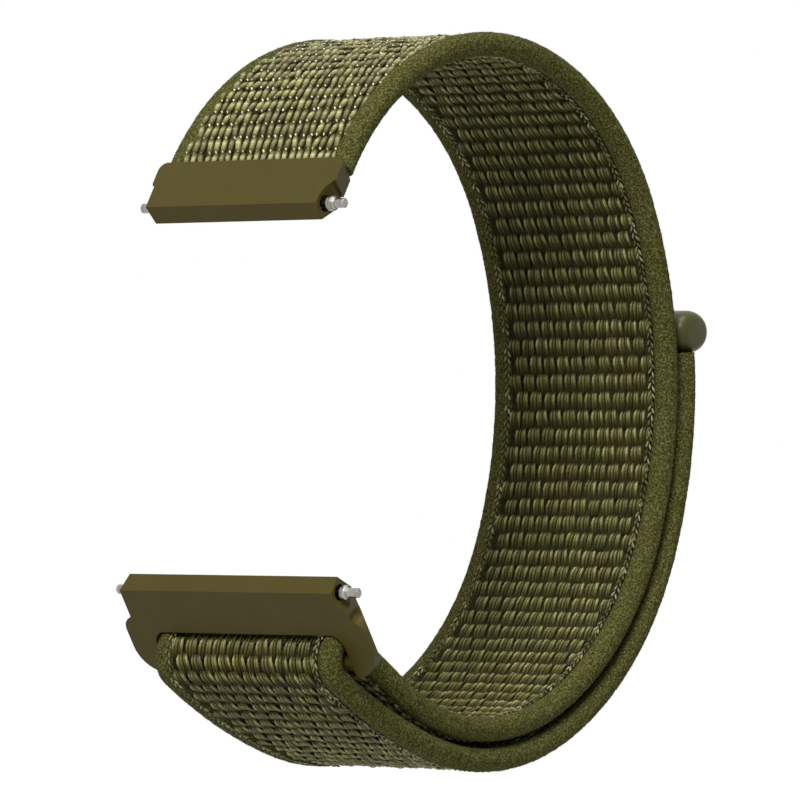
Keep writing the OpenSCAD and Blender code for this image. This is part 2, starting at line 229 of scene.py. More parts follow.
# Woven tape with hooks of nylon monofilament: dark, with the dull gloss of plain nylon
def hookTape():
    material, tree, shader = newMaterial("nylon hook tape", Roughness=0.5)
    grain = grainOf(tree, 0.3)
    colour = addNode(tree, "ShaderNodeValToRGB", {"Fac": grain}, [(0.3, "#2b2a14"), (0.7, "#45442a")])
    finishShader(tree, shader, colour, grain, strength=0.4, depth=0.04)
    return material


finish = {
    "yarn": nylonYarn(), "ground": groundCloth(), "piping": brushedPiping(), "nap": brushedNap(),
    "thread": sewingThread(), "paint": olivePaint(), "steel": turnedSteel(), "wire": springWire(),
    "tab": mouldedTab(), "hooks": hookTape(),
}
print("materials made")


# The strap's middle line: from the upper connector's mouth round the wrist, through the slot and back
strap = {
    "start": (-19.6, 17.15),                # in X and Z
    "heading": 58.5,                        # degrees
    "bends": [(23.0, 66.6), (22.5, 57.9), (35.8, 46.0), (24.9, 45.5), (21.2, 56.0)],  # radius, degrees
    "slotRun": 7.3,                         # straight length through the slot
    "foldRadius": 1.75,
    "layerPitch": 2.5,                      # from the first layer's middle to the tail's
    "tailCover": 26.0,                      # degrees of the third bend that the tail covers
    "thickness": 1.8,
    "step": 0.25,                           # between two points of the line
    "hingeRun": 7.0,                        # length of tail over which a hinge's bend is shared out
}


def leftOf(heading):
    turn = math.radians(heading)
    return Vector((-math.sin(turn), math.cos(turn)))


class Pen:                                  # draws lines and bends as points with headings
    def __init__(self, place, heading):
        self.place, self.heading, self.marks = Vector(place), heading, []
        self.mark()

    def mark(self):
        self.marks.append((self.place.copy(), self.heading))

    def line(self, length):
        turn = math.radians(self.heading)
        ahead = Vector((math.cos(turn), math.sin(turn)))
        count = max(1, round(length / strap["step"]))
        for _ in range(count):
            self.place += ahead * length / count
            self.mark()
        return self

    def bend(self, radius, turn, side):     # side 1 turns left, -1 right
        centre = self.place + side * radius * leftOf(self.heading)
        begin = self.heading
        count = max(2, round(radius * math.radians(turn) / strap["step"]))
        for i in range(1, count + 1):
            self.heading = begin + side * turn * i / count
            self.place = centre - side * radius * leftOf(self.heading)
            self.mark()
        return self


# The loop with its fold, and the tail's three lengths; the merging bend joins the fold to the tail's line
def strapStretches():
    pen = Pen(strap["start"], strap["heading"])
    for radius, turn in strap["bends"]:
        pen.bend(radius, turn, -1)
    (thirdRadius, _), (fourthRadius, fourthTurn), (lastRadius, lastTurn) = strap["bends"][-3:]
    tailOver = lastRadius + strap["layerPitch"]
    exitOver = lastRadius + 2 * strap["foldRadius"]
    mergeRadius = (strap["slotRun"] ** 2 + exitOver ** 2 - tailOver ** 2) / (2 * (exitOver - tailOver))
    mergeTurn = math.degrees(math.atan2(strap["slotRun"], mergeRadius - exitOver))
    pen.line(strap["slotRun"]).bend(strap["foldRadius"], 180, 1).bend(mergeRadius, mergeTurn, 1)
    found = {"loop": pen.marks}
    tailBends = [
        (tailOver, lastTurn - mergeTurn),
        (fourthRadius + strap["layerPitch"], fourthTurn),
        (thirdRadius + strap["layerPitch"], strap["tailCover"]),
    ]
    for n, (radius, turn) in enumerate(tailBends, 1):
        pen = Pen(pen.place, pen.heading).bend(radius, turn, 1)
        found["tail_%d" % n] = pen.marks
    return found


stretches = strapStretches()


def guide(marks, offset, y=0.0):            # a line at an offset; its left side faces out
    points = [place + offset * leftOf(heading) for place, heading in marks]
    if offset < 0:
        points.reverse()
    mesh = bpy.data.meshes.new("guide")
    mesh.from_pydata([(p.x * mm, y * mm, p.y * mm) for p in points],
                     [(i, i + 1) for i in range(len(points) - 1)], [])
    return mesh


# Geometry Nodes

def newTree(name, sockets):
    tree = bpy.data.node_groups.new(name, "GeometryNodeTree")
    tree.interface.new_socket("Geometry", in_out="OUTPUT", socket_type="NodeSocketGeometry")
    tree.interface.new_socket("Geometry", in_out="INPUT", socket_type="NodeSocketGeometry")
    for label, kind in sockets:
        tree.interface.new_socket(label, in_out="INPUT", socket_type="NodeSocket" + kind)
    return tree, addNode(tree, "NodeGroupInput").outputs


def closeTree(tree, geometry, material):
    real = addNode(tree, "GeometryNodeRealizeInstances", {"Geometry": geometry})
    done = addNode(tree, "GeometryNodeSetMaterial", {"Geometry": real, "Material": material})
    addNode(tree, "NodeGroupOutput", {0: done})


def randomTone(tree, copies, seedSocket):   # each copy gets a tone from 0 to 1, which its material reads
    value = addNode(tree, "FunctionNodeRandomValue", {2: 0.0, 3: 1.0, "Seed": seedSocket}, data_type="FLOAT")
    return addNode(tree, "GeometryNodeStoreNamedAttribute",
                   {"Geometry": copies, "Name": "tone", "Value": value.outputs[1]},
                   data_type="FLOAT", domain="INSTANCE")


def randomTurn(tree, rotation, angle, seedSocket):
    low = addNode(tree, "ShaderNodeVectorMath", {0: (-1, -1, -1), "Scale": angle}, operation="SCALE")
    high = addNode(tree, "ShaderNodeVectorMath", {0: (1, 1, 1), "Scale": angle}, operation="SCALE")
    turn = addNode(tree, "FunctionNodeRandomValue", {0: low, 1: high, "Seed": seedSocket},
                   data_type="FLOAT_VECTOR")
    return addNode(tree, "FunctionNodeRotateRotation", {0: rotation, 1: turn}, rotation_space="LOCAL")


# Sets copies of a piece in rows across a path, spread evenly over its whole length
def rowsAlongPath():
    tree, given = newTree("rowsAlongPath", [
        ("Piece", "Object"), ("Row Pitch", "Float"), ("Columns", "Int"), ("Column Pitch", "Float"),
        ("Stagger", "Float"), ("Tilt", "Float"), ("Spread", "Float"), ("Seed", "Int"),
        ("Material", "Material")])
    curve = addNode(tree, "GeometryNodeMeshToCurve", {0: given["Geometry"]})
    length = addNode(tree, "GeometryNodeCurveLength", {0: curve})
    fits = addNode(tree, "ShaderNodeMath", {0: length, 1: given["Row Pitch"]}, operation="DIVIDE")
    whole = addNode(tree, "ShaderNodeMath", {0: fits}, operation="ROUND")
    rows = addNode(tree, "ShaderNodeMath", {0: whole, 1: 1.0}, operation="MAXIMUM")
    count = addNode(tree, "ShaderNodeMath", {0: rows, 1: given["Columns"]}, operation="MULTIPLY")
    points = addNode(tree, "GeometryNodePoints", {"Count": count})

    index = addNode(tree, "GeometryNodeInputIndex")
    share = addNode(tree, "ShaderNodeMath", {0: index, 1: given["Columns"]}, operation="DIVIDE")
    row = addNode(tree, "ShaderNodeMath", {0: share}, operation="FLOOR")
    passed = addNode(tree, "ShaderNodeMath", {0: row, 1: given["Columns"]}, operation="MULTIPLY")
    column = addNode(tree, "ShaderNodeMath", {0: index, 1: passed}, operation="SUBTRACT")
    rowMiddle = addNode(tree, "ShaderNodeMath", {0: row, 1: 0.5}, operation="ADD")
    factor = addNode(tree, "ShaderNodeMath", {0: rowMiddle, 1: rows}, operation="DIVIDE")
    sample = addNode(tree, "GeometryNodeSampleCurve", {"Curves": curve, "Factor": factor},
                     mode="FACTOR", use_all_curves=True)

    # across is the column's distance from the middle, and every second row is shifted by the stagger
    last = addNode(tree, "ShaderNodeMath", {0: given["Columns"], 1: 1.0}, operation="SUBTRACT")
    middle = addNode(tree, "ShaderNodeMath", {0: last, 1: 0.5}, operation="MULTIPLY")
    parity = addNode(tree, "ShaderNodeMath", {0: row, 1: 2.0}, operation="MODULO")
    sign = addNode(tree, "ShaderNodeMath", {0: parity, 1: 0.5}, operation="SUBTRACT")
    shift = addNode(tree, "ShaderNodeMath", {0: sign, 1: given["Stagger"]}, operation="MULTIPLY")
    fromMiddle = addNode(tree, "ShaderNodeMath", {0: column, 1: middle}, operation="SUBTRACT")
    shifted = addNode(tree, "ShaderNodeMath", {0: fromMiddle, 1: shift}, operation="ADD")
    across = addNode(tree, "ShaderNodeMath", {0: shifted, 1: given["Column Pitch"]}, operation="MULTIPLY")
    offset = addNode(tree, "ShaderNodeCombineXYZ", {"Y": across})
    placed = addNode(tree, "GeometryNodeSetPosition",
                     {"Geometry": points, "Position": sample.outputs["Position"], "Offset": offset})

    aligned = addNode(tree, "FunctionNodeAlignRotationToVector", {"Vector": sample.outputs["Tangent"]},
                      axis="X", pivot_axis="Y")
    turned = randomTurn(tree, aligned, given["Tilt"], given["Seed"])
    small = addNode(tree, "ShaderNodeMath", {0: 1.0, 1: given["Spread"]}, operation="SUBTRACT")
    large = addNode(tree, "ShaderNodeMath", {0: 1.0, 1: given["Spread"]}, operation="ADD")
    size = addNode(tree, "FunctionNodeRandomValue", {2: small, 3: large, "Seed": given["Seed"]},
                   data_type="FLOAT")
    piece = addNode(tree, "GeometryNodeObjectInfo", {"Object": given["Piece"]}).outputs["Geometry"]
    copies = addNode(tree, "GeometryNodeInstanceOnPoints",
                     {"Points": placed, "Instance": piece, "Rotation": turned, "Scale": size.outputs[1]})
    closeTree(tree, randomTone(tree, copies, given["Seed"]), given["Material"])
    return tree


# Sweeps a flat profile along a path that lies in the XZ plane, and makes its surface lumpy
def sweptAlongPath():
    tree, given = newTree("sweptAlongPath", [
        ("Profile", "Object"), ("Lump", "Float"), ("Lump Scale", "Float"), ("Material", "Material")])
    curve = addNode(tree, "GeometryNodeMeshToCurve", {0: given["Geometry"]})
    upright = addNode(tree, "GeometryNodeSetCurveNormal", {"Curve": curve, "Normal": (0, 1, 0)}, mode="FREE")
    profile = addNode(tree, "GeometryNodeObjectInfo", {"Object": given["Profile"]}).outputs["Geometry"]
    outline = addNode(tree, "GeometryNodeMeshToCurve", {0: profile})
    swept = addNode(tree, "GeometryNodeCurveToMesh",
                    {"Curve": upright, "Profile Curve": outline, "Fill Caps": True})
    place = addNode(tree, "GeometryNodeInputPosition")
    cloud = addNode(tree, "ShaderNodeTexNoise",
                    {"Vector": place, "Scale": given["Lump Scale"], "Detail": 2.0})
    signed = addNode(tree, "ShaderNodeMath", {0: cloud, 1: 0.5}, operation="SUBTRACT")
    height = addNode(tree, "ShaderNodeMath", {0: signed, 1: given["Lump"]}, operation="MULTIPLY")
    outward = addNode(tree, "GeometryNodeInputNormal")
    push = addNode(tree, "ShaderNodeVectorMath", {0: outward, "Scale": height}, operation="SCALE")
    lumpy = addNode(tree, "GeometryNodeSetPosition", {"Geometry": swept, "Offset": push})
    smooth = addNode(tree, "GeometryNodeSetShadeSmooth", {"Geometry": lumpy})
    closeTree(tree, smooth, given["Material"])
    return tree


# Scatters fibres over a surface, standing on it with a random lean
def napOnSurface():
    tree, given = newTree("napOnSurface", [
        ("Fibre", "Object"), ("Density", "Float"), ("Tilt", "Float"), ("Seed", "Int"),
        ("Material", "Material")])
    scattered = addNode(tree, "GeometryNodeDistributePointsOnFaces",
                        {"Mesh": given["Geometry"], "Density": given["Density"], "Seed": given["Seed"]})
    turned = randomTurn(tree, scattered.outputs["Rotation"], given["Tilt"], given["Seed"])
    fibre = addNode(tree, "GeometryNodeObjectInfo", {"Object": given["Fibre"]}).outputs["Geometry"]
    copies = addNode(tree, "GeometryNodeInstanceOnPoints",
                     {"Points": scattered.outputs["Points"], "Instance": fibre, "Rotation": turned})
    closeTree(tree, randomTone(tree, copies, given["Seed"]), given["Material"])
    return tree


trees = {"rows": rowsAlongPath(), "swept": sweptAlongPath(), "nap": napOnSurface()}


def newObject(name, data):
    obj = bpy.data.objects.new(name, data)
    scene.collection.objects.link(obj)
    return obj


def runTree(name, mesh, tree, values):      # the tree's result on a mesh, as a plain mesh object
    source = newObject(name + "Source", mesh)
    modifier = source.modifiers.new("make", "NODES")
    modifier.node_group = tree
    sockets = {s.name: s.identifier for s in tree.interface.items_tree if s.in_out == "INPUT"}
    for label, value in values.items():
        modifier[sockets[label]] = value
    graph = bpy.context.evaluated_depsgraph_get()
    made = bpy.data.meshes.new_from_object(source.evaluated_get(graph), preserve_all_data_layers=True,
                                           depsgraph=graph)
    bpy.data.objects.remove(source)
    made.name = name
    return newObject(name, made)


# Parts that the trees copy; a point's painted light goes from 0, painted shade, to 1, painted highlight, and
# its strand shifts the tone
helpers = []                                # removed once the trees have run


def shadeSmooth(mesh):
    for polygon in mesh.polygons:
        polygon.use_smooth = True


def partObject(name, verts, faces, lifts=None, plies=None, edges=()):
    mesh = bpy.data.meshes.new(name)
    mesh.from_pydata([tuple(c * mm for c in v) for v in verts], list(edges), faces)
    for label, values in (("lift", lifts), ("strand", plies)):
        if values:
            mesh.attributes.new(label, "FLOAT", "POINT").data.foreach_set("value", values)
    shadeSmooth(mesh)
    obj = newObject(name, mesh)
    helpers.append(obj)
    return obj


class Shapes:                               # gathers small closed shapes into one part
    def __init__(self):
        self.verts, self.faces, self.lifts, self.plies = [], [], [], []

    def tube(self, rings, ends, lifts, ply):     # rings of points, closed to a point at both ends
        sides = len(rings[0])
        first = len(self.verts)
        self.verts.append(ends[0])
        for ring in rings:
            self.verts.extend(ring)
        self.verts.append(ends[1])
        self.lifts.extend(lifts)
        self.plies.extend([ply] * (len(self.verts) - first))
        last = len(self.verts) - 1
        for j in range(sides):
            k = (j + 1) % sides
            self.faces.append((first, first + 1 + k, first + 1 + j))
            self.faces.append((last, last - sides + j, last - sides + k))
            for i in range(len(rings) - 1):
                a, b = first + 1 + i * sides, first + 1 + (i + 1) * sides
                self.faces.append((a + j, a + k, b + k, b + j))

    def part(self, name):
        return partObject(name, self.verts, self.faces, self.lifts, self.plies)


archShoulder = 0.7                          # below 1 keeps an arch full near its ends
fiveAngles = [math.pi * n / 2.5 - math.pi / 2 for n in range(5)]    # round a strand, from its underside


def arch(s, steepness):                     # rises slowly, turns over and drops at the upper end
    return max(0.0, math.sin(math.pi * s ** steepness)) ** archShoulder


# The smooth face: bundles of four raised strands, the outer ones bowed apart and higher
bundle = {
    "length": 1.95,
    "width": 0.33,                          # of one strand
    "depth": 0.32,
    "top": 0.0,
    "bottom": -0.46,
    "places": (-0.37, -0.12, 0.13, 0.37),   # of the strands across the bundle
    "sinks": (0.0, 0.12, 0.06, 0.0),        # how far each strand lies below the top
    "bow": 0.33,                            # how far the outer strands swell out
    "steepness": 1.9,
    "endSize": 0.7,                         # of the full section, at a strand's ends
    "swell": 0.3,
    "plyStep": 0.37,                        # tone from one strand to the next
    "stations": (0.07, 0.34, 0.6, 0.8, 0.95),
    "halfWidth": 7.6,                       # of the face that the bundles cover
    "pitch": 1.5,
    "tilt": 0.1,                            # radians
}
# Painted light on a bundle's strands: painted shade underneath and where a strand dives, darker still where
# it is sunk, and a painted highlight along its top, strongest toward its upper end
bundleShade = {"power": 1.3, "foot": 0.5, "head": 0.62, "headPower": 2.5, "sunk": 0.75, "flank": 0.7}


def strandOf(shapes, y, bow, sink, ply):
    rings, lifts = [], [0.0]
    low, high = bundle["bottom"], bundle["top"] - bundle["depth"] / 2 - sink
    for s in bundle["stations"]:
        rise = arch(s, bundle["steepness"])
        full = bundle["endSize"] + bundle["swell"] * math.sin(math.pi * s)
        x = (s - 0.5) * bundle["length"]
        z = low + (high - low) * rise
        side = y + bow * math.sin(math.pi * s)
        w, d = bundle["width"] / 2 * full, bundle["depth"] / 2 * full
        rings.append([(x, side - w, z), (x, side, z - d), (x, side + w, z), (x, side, z + d)])
        # painted light for this ring: a painted highlight on the top point, less on the two sides, painted
        # shade underneath
        along = bundleShade["foot"] + bundleShade["head"] * s ** bundleShade["headPower"]
        glow = rise ** bundleShade["power"] * along * (bundleShade["sunk"] if sink else 1.0)
        flank = glow * bundleShade["flank"]
        lifts.extend([flank, 0.0, flank, glow])
    lifts.append(0.0)
    half = bundle["length"] / 2
    shapes.tube(rings, ((-half, y, low), (half, y, low)), lifts, ply)


def bundlePart():
    shapes = Shapes()
    for n, (y, sink) in enumerate(zip(bundle["places"], bundle["sinks"])):
        strandOf(shapes, y, bundle["bow"] * y, sink, bundle["plyStep"] * n)
    return shapes.part("bundle")


bead = {
    "stations": (0.16, 0.5, 0.84),
    # painted light round each ring and at the ends: painted shade underneath, a painted highlight on top
    "lifts": [0.3, 0.65, 0.85, 0.85, 0.65],      # from its underside round
    "endPaintedLight": 0.6,
}


# A bead carries painted light: painted shade underneath and a painted highlight along its top
def beadOf(shapes, centre, size, slant, ply):    # a short pale stitch, slanted along its length
    length, width = size
    rings, lifts = [], [bead["endPaintedLight"]]
    for s in bead["stations"]:
        reach = math.sin(math.pi * s)
        x = (s - 0.5) * length
        y = centre[1] + slant * x
        rings.append([(centre[0] + x, y + width / 2 * reach * math.cos(a),
                       centre[2] + width / 2 * reach * math.sin(a)) for a in fiveAngles])
        lifts.extend(bead["lifts"])
    lifts.append(bead["endPaintedLight"])
    ends = [(centre[0] + k * length / 2, centre[1] + k * slant * length / 2, centre[2]) for k in (-1, 1)]
    shapes.tube(rings, ends, lifts, ply)


# The looped face: knots, each one fat slanted turn of yarn with a bead under its foot, made pale by a painted
# highlight
knot = {
    "length": 1.95,
    "width": 0.52,
    "depth": 0.48,
    "top": 0.04,
    "bottom": -0.36,
    "slant": 0.15,                          # sideways for each millimetre along
    "steepness": 1.25,
    "stations": (0.1, 0.35, 0.62, 0.88),
    "foot": -0.36,                          # the bead's place, as a share of the length
    "beadDrop": 0.1,
    "beadSize": (0.42, 0.25),
    "beadSlant": 0.5,
    "beadPly": 0.45,
    "halfWidth": 8.3,                       # of the face that the knots cover
    "pitch": 0.75,
    "tilt": 0.17,                           # radians
}
# Painted light on a knot: a painted highlight along its top where it arches highest, less on its sides,
# painted shade underneath and at its ends
knotShade = {"top": 0.78, "power": 2, "flank": 0.6}


def knotPart():
    shapes = Shapes()
    rings, lifts = [], [0.0]
    for s in knot["stations"]:
        rise = arch(s, knot["steepness"])
        x = (s - 0.5) * knot["length"]
        z = knot["bottom"] + (knot["top"] - knot["depth"] / 2 - knot["bottom"]) * rise
        y = knot["slant"] * x
        w, d = knot["width"] / 2, knot["depth"] / 2
        rings.append([(x, y + w * math.cos(a), z + d * math.sin(a)) for a in fiveAngles])
        # painted light for this ring: painted highlight on top, less on the flanks, painted shade underneath
        glow = knotShade["top"] * rise ** knotShade["power"]
        flank = glow * knotShade["flank"]
        lifts.extend([0.0, flank, glow, glow, flank])
    lifts.append(0.0)
    half = knot["length"] / 2
    ends = ((-half, -knot["slant"] * half, knot["bottom"]), (half, knot["slant"] * half, knot["bottom"]))
    shapes.tube(rings, ends, lifts, 0.0)
    foot = knot["foot"] * knot["length"]
    beadOf(shapes, (foot, knot["slant"] * foot - knot["beadDrop"], -knot["beadDrop"]),
           knot["beadSize"], knot["beadSlant"], knot["beadPly"])
    return shapes.part("knot")


# A link of the chain stitch beside the piping: two short threads that lean to each other
chain = {
    "length": 0.56,
    "width": 0.2,
    "apart": 0.17,
    "offset": 0.12,                         # of one thread ahead of the other
    "height": 0.02,
    "slant": 0.4,
    "ply": 0.3,
    "row": 7.8,                             # from the strap's middle
    "rowPitch": 0.62,
    "columns": 1,
    "columnPitch": 0.1,
    "stagger": 0.3,
    "tilt": 0.2,
    "spread": 0.1,
}


def chainLinkPart():
    shapes = Shapes()
    for side in (-1, 1):
        beadOf(shapes, (chain["offset"] * side, side * chain["apart"], chain["height"]),
               (chain["length"], chain["width"]), -side * chain["slant"], chain["ply"] * side)
    return shapes.part("chainLink")


piping = {
    "radius": 0.99,
    "offset": 8.65,                         # of its middle from the strap's
    "sides": 28,
    "lump": 0.17,                           # height and size of its unevenness
    "lumpSize": 0.36,
    "fibreLength": 0.13,
    "fibreWidth": 0.035,
    "fibreRoot": 0.05,                      # how deep a fibre starts in the piping
    "fibreTilt": 0.9,                       # radians
    "fibresPerMm2": 16,
}


def fibrePart():                            # one raised fibre, a thin three-sided point
    r, root = piping["fibreWidth"] / 2, -piping["fibreRoot"]
    verts = [(r * math.cos(a), r * math.sin(a), root) for a in (0, 2 * math.pi / 3, 4 * math.pi / 3)]
    return partObject("napFibre", verts + [(0, 0, piping["fibreLength"])], [(0, 1, 3), (1, 2, 3), (2, 0, 3)])


def ringProfile(name, points):              # closed outline, drawn with x along the strap's width
    n = len(points)
    return partObject(name, [(x, y, 0) for x, y in points], [], edges=[(i, (i + 1) % n) for i in range(n)])


def pipingProfile(side):
    n = piping["sides"]
    return ringProfile("pipingOutline", [
        (side * piping["offset"] + piping["radius"] * math.cos(2 * math.pi * i / n),
         piping["radius"] * math.sin(2 * math.pi * i / n)) for i in range(n)])


weave = {
    "halfWidth": 7.6,                       # of the ground cloth, up to the piping
    "coreInset": 0.36,                      # how far the ground cloth lies below the yarns' tops
    "rowPitch": 1.53,
    "stagger": 0.5,                         # of every second row, as a share of a column
}


def clothProfile():
    half = strap["thickness"] / 2 - weave["coreInset"]
    wide = weave["halfWidth"]
    return ringProfile("clothOutline", [(-wide, -half), (wide, -half), (wide, half), (-wide, half)])


# A hook of the patch: a monofilament that rises and bends over
hookRow = {
    "offset": 1.24,                         # of the hooks' feet from the tail's middle line
    "height": 0.24,
    "reach": 0.26,
    "wire": 0.1,
    "steps": 5,
    "turn": 0.8,                            # of a half circle
    "droop": 0.06,                          # of the tip, past an angle in radians
    "droopFrom": 2,
    "root": 0.04,
    "tip": 0.03,
    # painted light, the same all over a hook
    "lift": 0.5,
    "ends": 2.5,                            # left bare at both ends of the patch
    "rowPitch": 0.9,
    "columns": 14,
    "columnPitch": 0.9,
    "stagger": 0.5,
    "tilt": 0.1,
    "spread": 0.05,
}


def hookPart():
    shapes = Shapes()
    rings = []
    r = hookRow["wire"] / 2
    for n in range(hookRow["steps"]):
        turn = math.pi * hookRow["turn"] * n / (hookRow["steps"] - 1)
        x = hookRow["reach"] * (1 - math.cos(turn)) / 2
        z = hookRow["height"] * math.sin(min(turn, math.pi / 2))
        z -= hookRow["droop"] if turn > hookRow["droopFrom"] else 0
        rings.append([(x + r * math.cos(a), r * math.sin(a), z)
                      for a in (0, math.pi / 2, math.pi, 3 * math.pi / 2)])
    top = rings[-1][0]
    ends = ((0, 0, -hookRow["root"]), (top[0], 0, top[2] - hookRow["tip"]))
    shapes.tube(rings, ends, [hookRow["lift"]] * (4 * len(rings) + 2), 0.0)
    return shapes.part("hook")


bundleYarn = bundlePart()
knotYarn = knotPart()
chainLink = chainLinkPart()
hook = hookPart()
fibre = fibrePart()
clothOutline = clothProfile()
pipingOutlines = {"near": pipingProfile(-1), "far": pipingProfile(1)}
print("parts for the trees made")


# Dressing the strap, one stretch at a time

def rideStretch(obj, stretch):    # a loop piece is attached to the loop's body; a tail piece only has its placement baked into its mesh
    if stretch == "loop":
        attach(obj, "loop")
        return
    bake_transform(obj)


def joinedMesh(name, objects):
    merged = bmesh.new()
    materials = []
    for obj in objects:
        part = obj.data
        offset = len(materials)
        materials.extend(part.materials)
        before = len(merged.faces)
        merged.from_mesh(part)
        merged.faces.ensure_lookup_table()
        for face in merged.faces[before:]:
            face.material_index += offset
        bpy.data.objects.remove(obj)
    mesh = bpy.data.meshes.new(name)
    merged.to_mesh(mesh)
    merged.free()
    for material in materials:
        mesh.materials.append(material)
    return newObject(name, mesh)


def rowsOf(name, path, part, row, material, seedShift=0):
    return runTree(name, path, trees["rows"], {
        "Piece": part, "Row Pitch": row["rowPitch"] * mm, "Columns": row["columns"],
        "Column Pitch": row["columnPitch"] * mm, "Stagger": row["stagger"], "Tilt": row["tilt"],
        "Spread": row["spread"], "Seed": seed + seedShift, "Material": material})


# Face A is the knots' face, outward on the loop; face B is the bundles', outward on the tail
def dressStretch(stretch):
    marks = stretches[stretch]
    label = stretch.title().replace("_", "")
    half = strap["thickness"] / 2
    cloth = runTree("cloth" + label, guide(marks, 0), trees["swept"],
                    {"Profile": clothOutline, "Lump": 0.0, "Lump Scale": 1.0, "Material": finish["ground"]})
    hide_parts("strap_loop" if stretch == "loop" else "tail_weave_" + stretch[-1])
    rideStretch(cloth, stretch)
    for side, offset, part, sizes in (("A", half, knotYarn, knot), ("B", -half, bundleYarn, bundle)):
        row = {"rowPitch": weave["rowPitch"], "columns": int(2 * sizes["halfWidth"] / sizes["pitch"]),
               "columnPitch": sizes["pitch"], "stagger": weave["stagger"], "tilt": sizes["tilt"],
               "spread": sizes["tilt"] / 2}
        face = rowsOf("yarn" + label + side, guide(marks, offset), part, row, finish["yarn"])
        rideStretch(face, stretch)
    links = [rowsOf("chain", guide(marks, -half, edge * chain["row"]), chainLink, chain,
                    finish["thread"], edge) for edge in (-1, 1)]
    thread = joinedMesh("thread" + label, links)
    rideStretch(thread, stretch)
    for edge in ("near", "far"):
        tube = runTree("piping" + label + edge.title(), guide(marks, 0), trees["swept"],
                       {"Profile": pipingOutlines[edge], "Lump": piping["lump"] * mm,
                        "Lump Scale": 1 / (piping["lumpSize"] * mm), "Material": finish["piping"]})
        pile = runTree("pile" + label + edge.title(), tube.data.copy(), trees["nap"],
                       {"Fibre": fibre, "Density": piping["fibresPerMm2"] / mm ** 2,
                        "Tilt": piping["fibreTilt"], "Seed": seed, "Material": finish["nap"]})
        node = "loop_piping_" + edge if stretch == "loop" else "tail_piping_%s_%s" % (edge, stretch[-1])
        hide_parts(node)
        rideStretch(tube, stretch)
        rideStretch(pile, stretch)
    print(stretch, "dressed")


for name in stretches:
    dressStretch(name)


# Hard parts

edges = {
    "weld": 0.002,                          # points closer than this are one
    "flat": 1,                              # degrees, below which two faces are one
    "sharp": 28,                            # degrees, from which an edge is broken
    "width": 0.1,
    "segments": 2,
}


# A CAD solid with its edges broken, as after tumbling and paint
def softened(node, name, material):
    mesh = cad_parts[node].data.copy()
    work = bmesh.new()
    work.from_mesh(mesh)
    bmesh.ops.remove_doubles(work, verts=work.verts, dist=edges["weld"] * mm)
    bmesh.ops.dissolve_limit(work, angle_limit=math.radians(edges["flat"]), verts=work.verts,
                             edges=work.edges)
    work.to_mesh(mesh)
    work.free()
    source = newObject(name + "Source", mesh)
    bevel = source.modifiers.new("edges", "BEVEL")
    bevel.width = edges["width"] * mm
    bevel.segments = edges["segments"]
    bevel.limit_method = "ANGLE"
    bevel.angle_limit = math.radians(edges["sharp"])
    graph = bpy.context.evaluated_depsgraph_get()
    made = bpy.data.meshes.new_from_object(source.evaluated_get(graph))
    bpy.data.objects.remove(source)
    made.name = name
    made.materials.clear()
    made.materials.append(material)
    for polygon in made.polygons:
        polygon.use_smooth = False
    obj = newObject(name, made)
    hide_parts(node)
    return obj


def fitted(outline, whole):                 # scales an outline so that it fills the whole part's box
    low = [min(p[k] for p in whole) for k in (0, 1)]
    high = [max(p[k] for p in whole) for k in (0, 1)]
    first = [min(p[k] for p in outline) for k in (0, 1)]
    last = [max(p[k] for p in outline) for k in (0, 1)]
    return [tuple(low[k] + (p[k] - first[k]) * (high[k] - low[k]) / (last[k] - first[k]) for k in (0, 1))
            for p in outline]


endCap = {
    "depth": 1.2,                           # length over which the bar's end is domed
    "inset": 0.45,                          # how far the section draws in, as a share of it
    "steps": 9,
    "flatWithin": 0.01,                     # points this close to the end's plane are on it
}


def endSection(node):                       # a bar's flat near end as an outline in X and Z, and its Y
    work = bmesh.new()
    work.from_mesh(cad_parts[node].data)
    bmesh.ops.remove_doubles(work, verts=work.verts, dist=edges["weld"] * mm)
    near = min(v.co.y for v in work.verts)
    ends = {f for f in work.faces if all(abs(v.co.y - near) < endCap["flatWithin"] * mm for v in f.verts)}
    rim = [e for e in work.edges if sum(f in ends for f in e.link_faces) == 1]
    follow = {}
    for edge in rim:
        a, b = edge.verts
        follow.setdefault(a, []).append(b)
        follow.setdefault(b, []).append(a)
    start = rim[0].verts[0]
    order = [start, follow[start][0]]
    while True:
        step = [v for v in follow[order[-1]] if v is not order[-2]][0]
        if step is start:
            break
        order.append(step)
    outline = fitted([(v.co.x, v.co.z) for v in order], [(v.co.x, v.co.z) for v in work.verts])
    work.free()
    return outline, near


# Lofts a bar through its own end section, drawn in toward both ends as from a rounded mould
def domedBar(node, name, material):
    outline, near = endSection(node)
    centre = [sum(p[k] for p in outline) / len(outline) for k in (0, 1)]
    steps = endCap["steps"]
    rings = []
    for side in (1, -1):
        for i in range(steps + 1) if side == 1 else range(steps, -1, -1):
            turn = math.pi / 2 * (1 - i / steps)
            y = side * (near + endCap["depth"] * mm * (1 - math.sin(turn)))
            size = 1 - endCap["inset"] * (1 - math.cos(turn))
            rings.append([(centre[0] + (x - centre[0]) * size, y, centre[1] + (z - centre[1]) * size)
                          for x, z in outline])
    count = len(outline)
    verts = [v for ring in rings for v in ring]
    faces = [tuple(range(count)), tuple(reversed(range(len(verts) - count, len(verts))))]
    for i in range(len(rings) - 1):
        for j in range(count):
            k = (j + 1) % count
            faces.append((i * count + j, (i + 1) * count + j, (i + 1) * count + k, i * count + k))
    mesh = bpy.data.meshes.new(name)
    mesh.from_pydata(verts, [], faces)
    work = bmesh.new()
    work.from_mesh(mesh)
    bmesh.ops.recalc_face_normals(work, faces=work.faces)
    work.to_mesh(mesh)
    work.free()
    shadeSmooth(mesh)
    mesh.materials.append(material)
    obj = newObject(name, mesh)
    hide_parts(node)
    return obj


springBar = {
    "tipTravel": 1.1,                       # how far a tip slides in
    "weld": 0.001,                          # points of the coil closer than this are one
}
